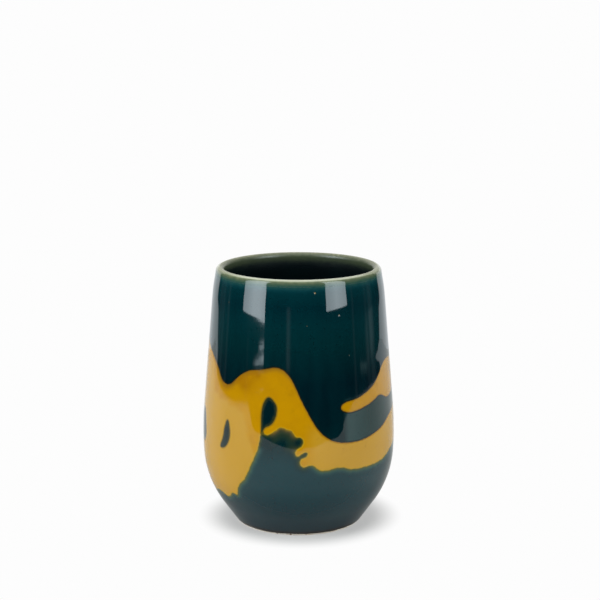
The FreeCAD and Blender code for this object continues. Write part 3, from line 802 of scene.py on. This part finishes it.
# soft scorched spots on the hump: degrees, height, reach
scorch = np.zeros(len(rise))
for degrees, height, reach in ((-34, 68.0, 2.7), (-31.5, 71.8, 3.4), (-25, 73.6, 2.0),
                               (-38, 70.5, 2.6), (-49.5, 66.6, 2.4)):
    sideways = (wrapped - degrees) * math.pi / 180 * belly_radius / MM
    scorch += np.exp(-(sideways ** 2 + (rise - height) ** 2) / reach ** 2)
marks_on_face = {
    "from_top": distance_from("pour_top"), "from_base": distance_from("pour_base"),
    "from_island": distance_from("drop", "slit", "patch"), "from_foot": from_foot / MM,
    "run_down": run_down, "hole_gap": np.minimum(hole_gap, 9), "soft_run": soft_run,
    "pocket": pocket, "lump": lump, "hump": hump, "painted_reflection": painted_reflection, "scorch": np.minimum(scorch, 1),
}
# the islands are inside the pour, out of reach of its lower edge
island_names = ("teal_drop_glaze", "teal_slit_glaze", "teal_patch_glaze")
far_away = np.full(len(rise), 9.0)


def glaze_piece(name, finish, depths, tilts):
    """Closed skin of glaze over its share of the sheet, from its face down to the clay."""
    used, faces = np.unique(triangles[parts[name]], return_inverse=True)
    faces = faces.reshape(-1, 3)
    out = outward[used]
    proud = face_points[used] + out * (depths[used] - teal_thickness)[:, None]
    seated = face_points[used] - out * teal_thickness
    normals = out - tilts[used]
    normals /= np.linalg.norm(normals, axis=1)[:, None]
    corner = proud[faces]
    facing = np.cross(corner[:, 1] - corner[:, 0], corner[:, 2] - corner[:, 0])
    turned_in = np.einsum("ij,ij->i", facing, out[faces[:, 0]]) < 0
    faces[turned_in] = faces[turned_in][:, ::-1]
    size = len(used)
    sides = np.vstack([faces[:, (0, 1)], faces[:, (1, 2)], faces[:, (2, 0)]])
    keys = {tuple(side) for side in sides.tolist()}
    rim = np.array([(a, b) for a, b in sides.tolist() if (b, a) not in keys])
    walls = np.stack([rim[:, 1], rim[:, 0], rim[:, 0] + size, rim[:, 1] + size], axis=1)
    points = np.vstack([proud, seated])
    mesh = new_mesh(name, finish, points.tolist(),
                    faces.tolist() + (faces[:, ::-1] + size).tolist() + walls.tolist())
    corner = points[walls]
    wall_normal = np.cross(corner[:, 1] - corner[:, 0], corner[:, 3] - corner[:, 0])
    wall_normal /= np.maximum(np.linalg.norm(wall_normal, axis=1), 1e-12)[:, None]
    loops = np.vstack([normals[faces.ravel()], -out[faces[:, ::-1].ravel()],
                       np.repeat(wall_normal, 4, axis=0)])
    mesh.normals_split_custom_set(loops.tolist())
    piece = set_down(name + "_skin", mesh)
    for label, values in marks_on_face.items():
        if label == "from_base" and name in island_names:
            values = far_away
        mark(piece, label, np.tile(values[used], 2))
    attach(piece, "root")
    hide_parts(name)
    return piece


def far_along(axis, vector):
    """How far a place or a direction reaches along X (right), Y (back) or Z (up)."""
    node = vector.tree.nodes.new("ShaderNodeSeparateXYZ")
    feed(node.inputs[0], vector)
    return Result(node.outputs[axis])


def down_from_crest(tree):
    """Millimetres down from the crest of the lip, wavering as the glaze did."""
    return marked(tree, "run_down") + 1.2 * (cloud(tree, 2.2 * MM, detail=3) - 0.5)


def fired_relief(tree, shader, peel_depth):
    """Slow waves, the faint lines of the throwing and fine orange peel."""
    roughen(shader, (cloud(tree, 11 * MM, detail=1, offset=(4, 4, 4)), 0.012 * MM),
            (cloud(tree, 0.9 * MM, detail=1, stretch=(12, 12, 1), offset=(0, 3, 5)), 0.0009 * MM),
            (cloud(tree, 1.3 * MM, offset=(1, 2, 3)), peel_depth))


# Teal: darker by height in a band above the pour, lighter near the lip, olive where it breaks
teal_scale = shades(
    (0, 3, 34, 44), (24, 1, 50, 57), (35, 1, 49, 55), (44, 0, 32, 36), (53, 0, 21, 27),
    (70, 0, 21, 28), (85, 1, 37, 40), (94, 1, 40, 44), (102, 0, 34, 40), (112, 2, 47, 51))
teal_streak, teal_fleck = tint(2, 56, 60), tint(0, 18, 22)
pocket_left, pocket_right = tint(44, 70, 69), tint(3, 44, 41)
upper_line, foot_burnt, foot_thin = tint(20, 27, 17), tint(30, 22, 20), tint(98, 78, 60)
clay_in_pinhole = tint(150, 122, 76)
teal_glaze, tree, shader = new_finish("teal_glaze")
up, across = far_along("Z", place_on_cup(tree)), far_along("X", place_on_cup(tree))
colour = colour_scale(up / MM + 9.0 * (cloud(tree, 34 * MM, detail=1) - 0.5), teal_scale)
mixed = lay_over(fade(across, 20 * MM, 34 * MM), pocket_left, pocket_right)
colour = lay_over(0.85 * marked(tree, "pocket"), colour, mixed)
colour = lay_over(0.16 * fade(cloud(tree, 5 * MM, stretch=(1, 1, 7)), 0.3, 0.75), colour, teal_streak)
flecks = fade(cloud(tree, 0.8 * MM, detail=0, offset=(3, 9, 4)), 0.74, 0.82)
colour = lay_over(0.5 * flecks, colour, teal_fleck)
# the pour bleeds into the teal below it: a short green edge all along, and under the drop,
# where it ran slowly, a wide brown one
run_scale = shades(
    (0, 106, 100, 34), (0.4, 68, 80, 42), (0.9, 50, 78, 64), (1.5, 34, 69, 67), (2.4, 20, 60, 62),
    (3.6, 6, 51, 56))
lump_scale = shades(
    (0, 98, 88, 28), (0.4, 52, 58, 28), (0.9, 28, 48, 36), (1.7, 8, 37, 38), (3.6, 1, 30, 33))
pool_scale = shades(
    (0, 130, 102, 36), (0.7, 84, 74, 42), (1.4, 56, 60, 42), (2.3, 37, 51, 37), (3.6, 25, 46, 39),
    (4.8, 11, 37, 37), (6.2, 2, 31, 34))
below_pour = marked(tree, "from_base") + 0.5 * (cloud(tree, 1.5 * MM) - 0.5)
bleed = lay_over(marked(tree, "lump"), colour_scale(below_pour, run_scale),
                 colour_scale(below_pour, lump_scale))
colour = lay_over(fade(below_pour, 3.4, 0.6), colour, bleed)
pooled = marked(tree, "soft_run") * fade(below_pour, 6.2, 4.4)
colour = lay_over(pooled, colour, colour_scale(below_pour, pool_scale))
# along the pour's upper edges the teal burns to a dark brown line, in the islands to olive
colour = lay_over(fade(marked(tree, "from_top"), 0.75, 0.1), colour, upper_line)
island_scale = shades(
    (0, 70, 66, 22), (1.0, 50, 54, 28), (1.8, 24, 40, 34), (2.8, 4, 28, 32))
island_gap = marked(tree, "from_island") + 1.6 * cloud(tree, 2.2 * MM, offset=(1, 8, 1))
colour = lay_over(fade(island_gap, 2.7, 1.2), colour, colour_scale(island_gap, island_scale))
# over the foot edge it burns nearly black, then thins to brown
foot_gap = marked(tree, "from_foot") - 0.4 * cloud(tree, 2.4 * MM)
colour = lay_over(fade(foot_gap, 2.6, 0.9), colour, foot_burnt)
colour = lay_over(fade(foot_gap, 0.15, -0.15), colour, foot_thin)
# near the lip it breaks to olive, by millimetres down from the crest
outside_scale = shades(
    (0, 158, 158, 124), (1.2, 150, 152, 118), (1.7, 112, 118, 88), (2.3, 88, 99, 75),
    (3.0, 63, 87, 69), (3.9, 33, 72, 68), (5.0, 13, 58, 62), (6.4, 4, 48, 54))
rim_far = down_from_crest(tree)
colour = lay_over(fade(rim_far, 7.5, 4.5), colour, colour_scale(rim_far, outside_scale))
# pinholes show the clay through a thin skin of glaze
colour = lay_over(0.7 * fade(marked(tree, "hole_gap"), 1.0, 0.55), colour, clay_in_pinhole)
gloss(shader, colour, 0.035)
fired_relief(tree, shader, 0.0005 * MM)

for name in ("teal_upper_glaze", "teal_foot_glaze", *island_names):
    glaze_piece(name, teal_glaze, depth, tilt)

# Mustard: amber under its upper edge, a little scorched on the hump, yellow below
mustard_plain, mustard_deep = tint(190, 134, 2), tint(178, 122, 5)
mustard_painted_reflection, mustard_lower_rim = tint(193, 143, 36), tint(188, 140, 20)
mustard_scorched, mustard_smudged, mustard_burnt = tint(150, 102, 12), tint(146, 98, 14), tint(160, 104, 4)
by_island, at_base, olive_thread = tint(132, 98, 24), tint(132, 114, 38), tint(92, 80, 28)
amber_scale = shades(
    (0, 70, 50, 22), (0.25, 118, 82, 24), (0.6, 150, 104, 20), (1.4, 166, 116, 14),
    (2.6, 182, 127, 5), (4.0, 190, 134, 2))
mustard_glaze, tree, shader = new_finish("mustard_glaze")
from_top, from_base, from_island = (marked(tree, name) for name in ("from_top", "from_base", "from_island"))
mottled = fade(cloud(tree, 9 * MM, detail=3, offset=(6, 1, 2)), 0.4, 0.72)
colour = lay_over(0.55 * mottled, mustard_plain, mustard_deep)
# painted reflection of the table, where it shows in the mustard
colour = lay_over(marked(tree, "painted_reflection"), colour, mustard_painted_reflection)
fine = fade(cloud(tree, 0.9 * MM, detail=1, offset=(2, 7, 2)), 0.68, 0.8)
colour = lay_over(0.22 * fine, colour, mustard_scorched)
# the amber is wide on the hump and narrow elsewhere
amber_width = 0.55 + 0.9 * cloud(tree, 16 * MM, detail=1, offset=(5, 5, 1))
under_edge = from_top / (amber_width * (0.3 + 0.7 * marked(tree, "hump")))
colour = lay_over(fade(under_edge, 3.6, 1.2), colour, colour_scale(under_edge, amber_scale))
smudges = fade(cloud(tree, 4.2 * MM, detail=3, offset=(3, 3, 8)), 0.56, 0.74) * fade(from_top, 9.0, 3.0)
colour = lay_over(0.25 * smudges, colour, mustard_smudged)
burnt = marked(tree, "scorch") * fade(cloud(tree, 4.5 * MM, detail=3, offset=(9, 2, 4)), 0.15, 0.5)
colour = lay_over(0.8 * burnt, colour, mustard_burnt)
colour = lay_over(fade(from_island, 0.9, 0.0), colour, by_island)
# a slightly lighter, greener rim along the pour's lower edges
colour = lay_over(fade(from_base, 0.8, 0.3), colour, mustard_lower_rim)
colour = lay_over(fade(from_base, 0.35, 0.0), colour, at_base)
# an olive thread joins the drop's tip to the coat below
colour = lay_over(fade(from_base + from_island, 1.9, 1.4), colour, olive_thread)
gloss(shader, colour, 0.04)
fired_relief(tree, shader, 0.0006 * MM)
glaze_piece("mustard_glaze", mustard_glaze, pour_depth, pour_tilt)


# ---- Lip glaze
# On the lip the two glazes run thin and the cream clay shines through, which turns them
# olive.  It is one thin skin over the half-round crest, from just outside to just inside.
lip_middle = WallFace(-wall_thickness / 2)
crest_slant = math.asin((crest_height - lip_middle.lip_centre[1]) / lip_middle.lip_bend)
crest_centre = polar(lip_middle.lip_centre, lip_middle.lip_bend, crest_slant)
outer_rows, inner_rows, crest_rows = 7, 9, 25
outer_rise = np.linspace(lip_line, polar(crest_centre, crest_bend, crest_slant)[1], outer_rows)
inner_rise = np.linspace(polar(crest_centre, -crest_bend, crest_slant)[1], liner_top, inner_rows)
over_the_top = np.linspace(crest_slant, crest_slant + math.pi, crest_rows)[1:-1]


def up_the_wall(out, heights):
    """Radius and height of points of the wall's face at a distance out from the clay."""
    return list(zip(WallFace(out).at(heights)[0].tolist(), heights))


section = up_the_wall(lip_glaze_thickness, outer_rise)
section += [polar(crest_centre, crest_bend, angle) for angle in over_the_top]
section += up_the_wall(-wall_thickness - lip_glaze_thickness, inner_rise)
section += up_the_wall(-wall_thickness, inner_rise[::-1])
section += [polar(crest_centre, wall_thickness / 2, angle) for angle in over_the_top[::-1]]
section += up_the_wall(0, outer_rise[::-1])

crest_cream = tint(184, 174, 138)
painted_crest_highlight = tint(214, 212, 186)
olive_lip, tree, shader = new_finish("olive_lip_glaze")
inner_side, down = marked(tree, "inner_side"), marked(tree, "run_down")
rim_far = down_from_crest(tree)
colour = lay_over(inner_side, colour_scale(rim_far, outside_scale), colour_scale(rim_far, inside_scale))
bare_spots = fade(cloud(tree, 1.6 * MM, offset=(8, 2, 6)), 0.56, 0.72) * fade(down, 2.4, 0.6)
colour = lay_over(0.6 * bare_spots, colour, crest_cream)
# painted highlight: the crest is lighter along the front
front_crest_highlight = fade(far_along("Y", place_on_cup(tree)), -16 * MM, -28 * MM) * fade(down, 1.7, 0.9)
colour = lay_over(0.85 * front_crest_highlight, colour, painted_crest_highlight)
gloss(shader, colour, 0.06 + 0.3 * inner_side)
roughen(shader, (cloud(tree, 1.3 * MM, offset=(1, 2, 3)), 0.0008 * MM))

lip = turned_piece("lip_glaze_skin", olive_lip, [ring_points(radius, height) for radius, height in section])
lip_runs, lip_sides = [], []
for radius, height in section:
    over = math.atan2(height - crest_centre[1], radius - crest_centre[0])
    if over >= crest_slant:
        lip_runs.append(abs(over - math.pi / 2) * crest_bend / MM)
    else:
        lip_runs.append((crest_height - height + crest_bend * math.pi / 2) / MM)
    lip_sides.append(float(radius < crest_centre[0]))
mark(lip, "run_down", np.repeat(lip_runs, ring_divisions))
mark(lip, "inner_side", np.repeat(lip_sides, ring_divisions))
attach(lip, "root")
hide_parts("lip_glaze")


# ---- Table
# A matt white table top.  The glaze mirrors its outline: a wavering front edge, a bitten
# right side and a straight back.  It keeps the cup's soft shadow and is white elsewhere.
table_edge = [
    (-0.46, -0.17), (-0.45, -0.245), (-0.4, -0.255), (-0.28, -0.22), (-0.19, -0.228), (0, -0.212),
    (0.13, -0.225), (0.2, -0.205), (0.27, -0.224), (0.35, -0.27), (0.4, -0.25), (0.47, -0.19),
    (0.482, -0.14), (0.487, -0.054), (0.475, 0.02), (0.466, 0.05), (0.445, 0.095), (0.430, 0.135),
    (0.408, 0.172), (0.391, 0.202), (0.398, 0.222), (0.430, 0.222), (0.500, 0.182), (0.513, 0.188),
    (0.500, 0.222), (0.485, 0.243), (0.491, 0.268), (0.47, 0.31), (0.41, 0.34), (-0.41, 0.34),
    (-0.38, 0.17), (-0.43, 0),
]
shadow_middle = (0.8 * MM, 1.2 * MM, 0)
painted_shade_paper, table_paper, painted_light_far_paper = tint(203, 197, 191), tint(229, 223, 217), tint(252, 249, 244)
background_white = tint(253, 253, 253)
window_light = (0.90, 1.02, 1.10, 1)


def shone_over(amount, under, light):
    """Light of one colour shining over an earlier surface by an amount."""
    lamp = amount.tree.nodes.new("ShaderNodeEmission")
    lamp.inputs["Color"].default_value = light
    mix = amount.tree.nodes.new("ShaderNodeMixShader")
    feed(mix.inputs[0], amount)
    feed(mix.inputs[1], under)
    feed(mix.inputs[2], Result(lamp.outputs["Emission"]))
    return Result(mix.outputs[0])


table_finish, tree, shader = new_finish("pale_table")
across, deep = far_along("X", place_on_cup(tree)), far_along("Y", place_on_cup(tree))
gap = tree.nodes.new("ShaderNodeVectorMath")
gap.operation = "DISTANCE"
gap.inputs[1].default_value = shadow_middle
feed(gap.inputs[0], place_on_cup(tree))
from_cup = Result(gap.outputs["Value"])
# painted shade: the paper is darker round the cup, so that the glaze mirrors its shadow there
paper = lay_over(fade(from_cup, 48 * MM, 75 * MM), painted_shade_paper, table_paper)
# painted light: the paper is lighter towards the back, where more light falls on it
feed(shader.inputs["Base Color"], lay_over(fade(deep, -0.04, 0.14), paper, painted_light_far_paper))
feed(shader.inputs["Roughness"], 0.9)
feed(shader.inputs["Specular IOR Level"], 0.2)
ray = tree.nodes.new("ShaderNodeLightPath")
# the far right corner, lit from a window, is a little brighter where the glaze mirrors it
window_side = fade(deep, 0.07, 0.2) * fade(across, 0.2, 0.35) * 0.4
mirrored, looked_at = Result(ray.outputs["Is Glossy Ray"]), Result(ray.outputs["Is Camera Ray"])
surface = shone_over(window_side * mirrored, Result(shader.outputs["BSDF"]), window_light)
# seen straight it is as white as the background, but for a soft shadow round the foot
clear_of_shadow = 0.32 + 0.68 * fade(from_cup, 30.5 * MM, 46.5 * MM)
surface = shone_over(clear_of_shadow * looked_at, surface, background_white)
feed(tree.nodes["Material Output"].inputs["Surface"], surface)

outline = [(x, y, 0) for x, y in table_edge]
table = set_down("table_top", new_mesh("table_top", table_finish, outline, [range(len(outline))]))


# ---- Light
# Two upright soft boxes in front, left and right, reach from near the table to 1.3 m up.
# A white wall stands behind the cup, the ceiling is pale, and the room behind the camera
# is dark but for a few faint upright streaks, the foot of a stand and a pale card.
box_distance = 1.1
box_tint = (0.89, 1.0, 1.06)
side_dark, front_dark = (0.010, 0.014, 0.015, 1), (0.009, 0.012, 0.013, 1)
card_light, post_light, base_light = (0.27, 0.42, 0.42, 1), (4.6, 5.4, 5.8, 1), (6.6, 7.7, 8.2, 1)
wall_light, wall_behind_cup = (0.96, 1.02, 1.05, 1), (0.8, 0.82, 0.85, 1)


def grey(value):
    """An even grey light."""
    return (value, value, value, 1)


def soft_box(name, degrees, width, bottom, top, glow_across):
    """An upright lamp facing the cup, its glow given in steps across it."""
    lamp = bpy.data.lights.new(name, "AREA")
    lamp.shape = "RECTANGLE"
    lamp.size = width
    lamp.size_y = top - bottom
    # this power gives a brightness of 1, which the glow multiplies
    lamp.energy = math.pi * width * (top - bottom)
    lamp.color = box_tint
    lamp.use_nodes = True
    place_on_lamp = lamp.node_tree.nodes.new("ShaderNodeNewGeometry").outputs["Parametric"]
    across = far_along("X", Result(place_on_lamp))
    feed(lamp.node_tree.nodes["Emission"].inputs["Color"],
         colour_scale(across, [(at, grey(glow)) for at, glow in glow_across]))
    holder = set_down(name, lamp)
    turned = math.radians(degrees)
    holder.location = (*around(box_distance, turned), (top + bottom) / 2)
    holder.rotation_euler = (math.pi / 2, 0, turned)


left_glow = [(0, 4.3), (0.25, 5.6), (0.5, 7.2), (0.75, 7.3), (1, 6.2)]
right_glow = [(0, 4.8), (0.3, 5.6), (0.5, 6.4), (0.75, 5.7), (1, 4.7)]
soft_box("soft_box_left", -59.7, 0.640, 0.026, 1.28, left_glow)
soft_box("soft_box_right", 50.4, 0.581, 0.070, 1.30, right_glow)


def band(value, start, full, fading, end):
    """1 from full to fading, 0 outside start and end, smooth between."""
    return fade(value, start, full) * fade(value, end, fading)


room = bpy.data.worlds.new("room")
room.use_nodes = True
bpy.context.scene.world = room
tree = room.node_tree
looking = Result(tree.nodes.new("ShaderNodeTexCoord").outputs["Generated"])
across, deep, up = (far_along(axis, looking) for axis in "XYZ")
# each direction as degrees round from the front to the right, and degrees up from level
bearing = reckon("DEGREES", reckon("ARCTAN2", across, -1.0 * deep))
rising = reckon("DEGREES", reckon("ARCSINE", up))

# brightness of the dark room with its streaks, by degrees round from the back
dim_scale = [
    (0, 0.014), (50, 0.014), (56, 0.09), (62, 0.07), (64.5, 0.12), (67.5, 0.05), (73, 0.04), (76.3, 0.14),
    (79, 0.014), (111, 0.014), (112.8, 0.10), (114.5, 0.014), (163.8, 0.012), (166.6, 0.40), (171, 0.012),
    (252.5, 0.014), (254.8, 0.16), (257, 0.02), (273, 0.03), (278.4, 0.28), (281.5, 0.09), (284.8, 0.38),
    (288, 0.35), (291, 0.22), (295, 0.03), (360, 0.014),
]
dim_stops = [(at, (0.75 * value, value, 1.06 * value, 1)) for at, value in dim_scale]
dark_room = colour_scale(bearing + 180.0, dim_stops)
# the streaks on the right are strongest about 7 degrees down
out_of_reach = (1.0 - band(rising, -8.2, -7.3, -6.4, -5.6)) * fade(bearing, 90, 94)
dark_room = lay_over(0.65 * out_of_reach, dark_room, side_dark)
# the streak in front shows only between the lip and the pour
out_of_sight = reckon("MAXIMUM", fade(rising, -1.30, 1.34), fade(rising, -4.46, -4.78))
in_front = band(bearing, -18, -17, -8.5, -7.5)
dark_room = lay_over(in_front * out_of_sight, dark_room, front_dark)
# the card leans a little
tipped = rising + 0.06 * (bearing - 86.0)
card = band(bearing, 81.5, 84, 92, 97) * band(tipped, -7.24, -7.12, -6.9, -6.78)
dark_room = lay_over(card, dark_room, card_light)
# the stand's post and its wedge-shaped base, below the left soft box
beside_box = bearing + 45.0
slanted = rising - 0.04 * beside_box
post = band(bearing, -53, -48, -45, -43.6) * band(slanted, -4.50, -4.45, -4.40, -4.12)
base = band(bearing, -61, -52, -45, -43.6) * fade(slanted, -4.96, -4.92)
base = base * fade(slanted - 0.009 * beside_box, -4.75, -4.80)
dark_room = lay_over(reckon("MAXIMUM", post, base), dark_room, post_light)
dark_room = lay_over(base, dark_room, base_light)

# the white wall, dimmer straight behind and high up, brightest at the level of the cup
back_wall = lay_over(fade(abs(bearing), 150, 175), wall_light, wall_behind_cup)
back_wall = lay_over(fade(rising, 7, 12), back_wall, grey(0.7))
back_wall = lay_over(band(rising, -6, -3, 7, 12), back_wall, grey(1.2))
# it begins behind the cup, and further forward the lower it is
sinking = reckon("MINIMUM", 6.0 * reckon("MAXIMUM", -7.2 - rising, 0.0), 12.0)
room_colour = lay_over(fade(abs(bearing) + sinking, 133.5, 137.5), dark_room, back_wall)
room_colour = lay_over(fade(up, 0.70, 0.85), room_colour, grey(0.6))
ray = tree.nodes.new("ShaderNodeLightPath")
seen = reckon("MAXIMUM", Result(ray.outputs["Is Camera Ray"]), Result(ray.outputs["Is Transmission Ray"]))
feed(tree.nodes["Background"].inputs["Color"], lay_over(seen, room_colour, background_white))
feed(tree.nodes["Background"].inputs["Strength"], 1)


# ---- Camera
# Straight in front of the cup, a little above its lip and looking slightly down.
camera = set_down("camera", bpy.data.cameras.new("camera"))
camera.location = (0.0006, -0.6740, 0.2343)
camera.rotation_euler = (math.radians(78.55), 0, 0)
camera.data.lens = 94.92
camera.data.sensor_width = 36
bpy.context.scene.camera = camera
bpy.context.scene.view_settings.view_transform = "Standard"
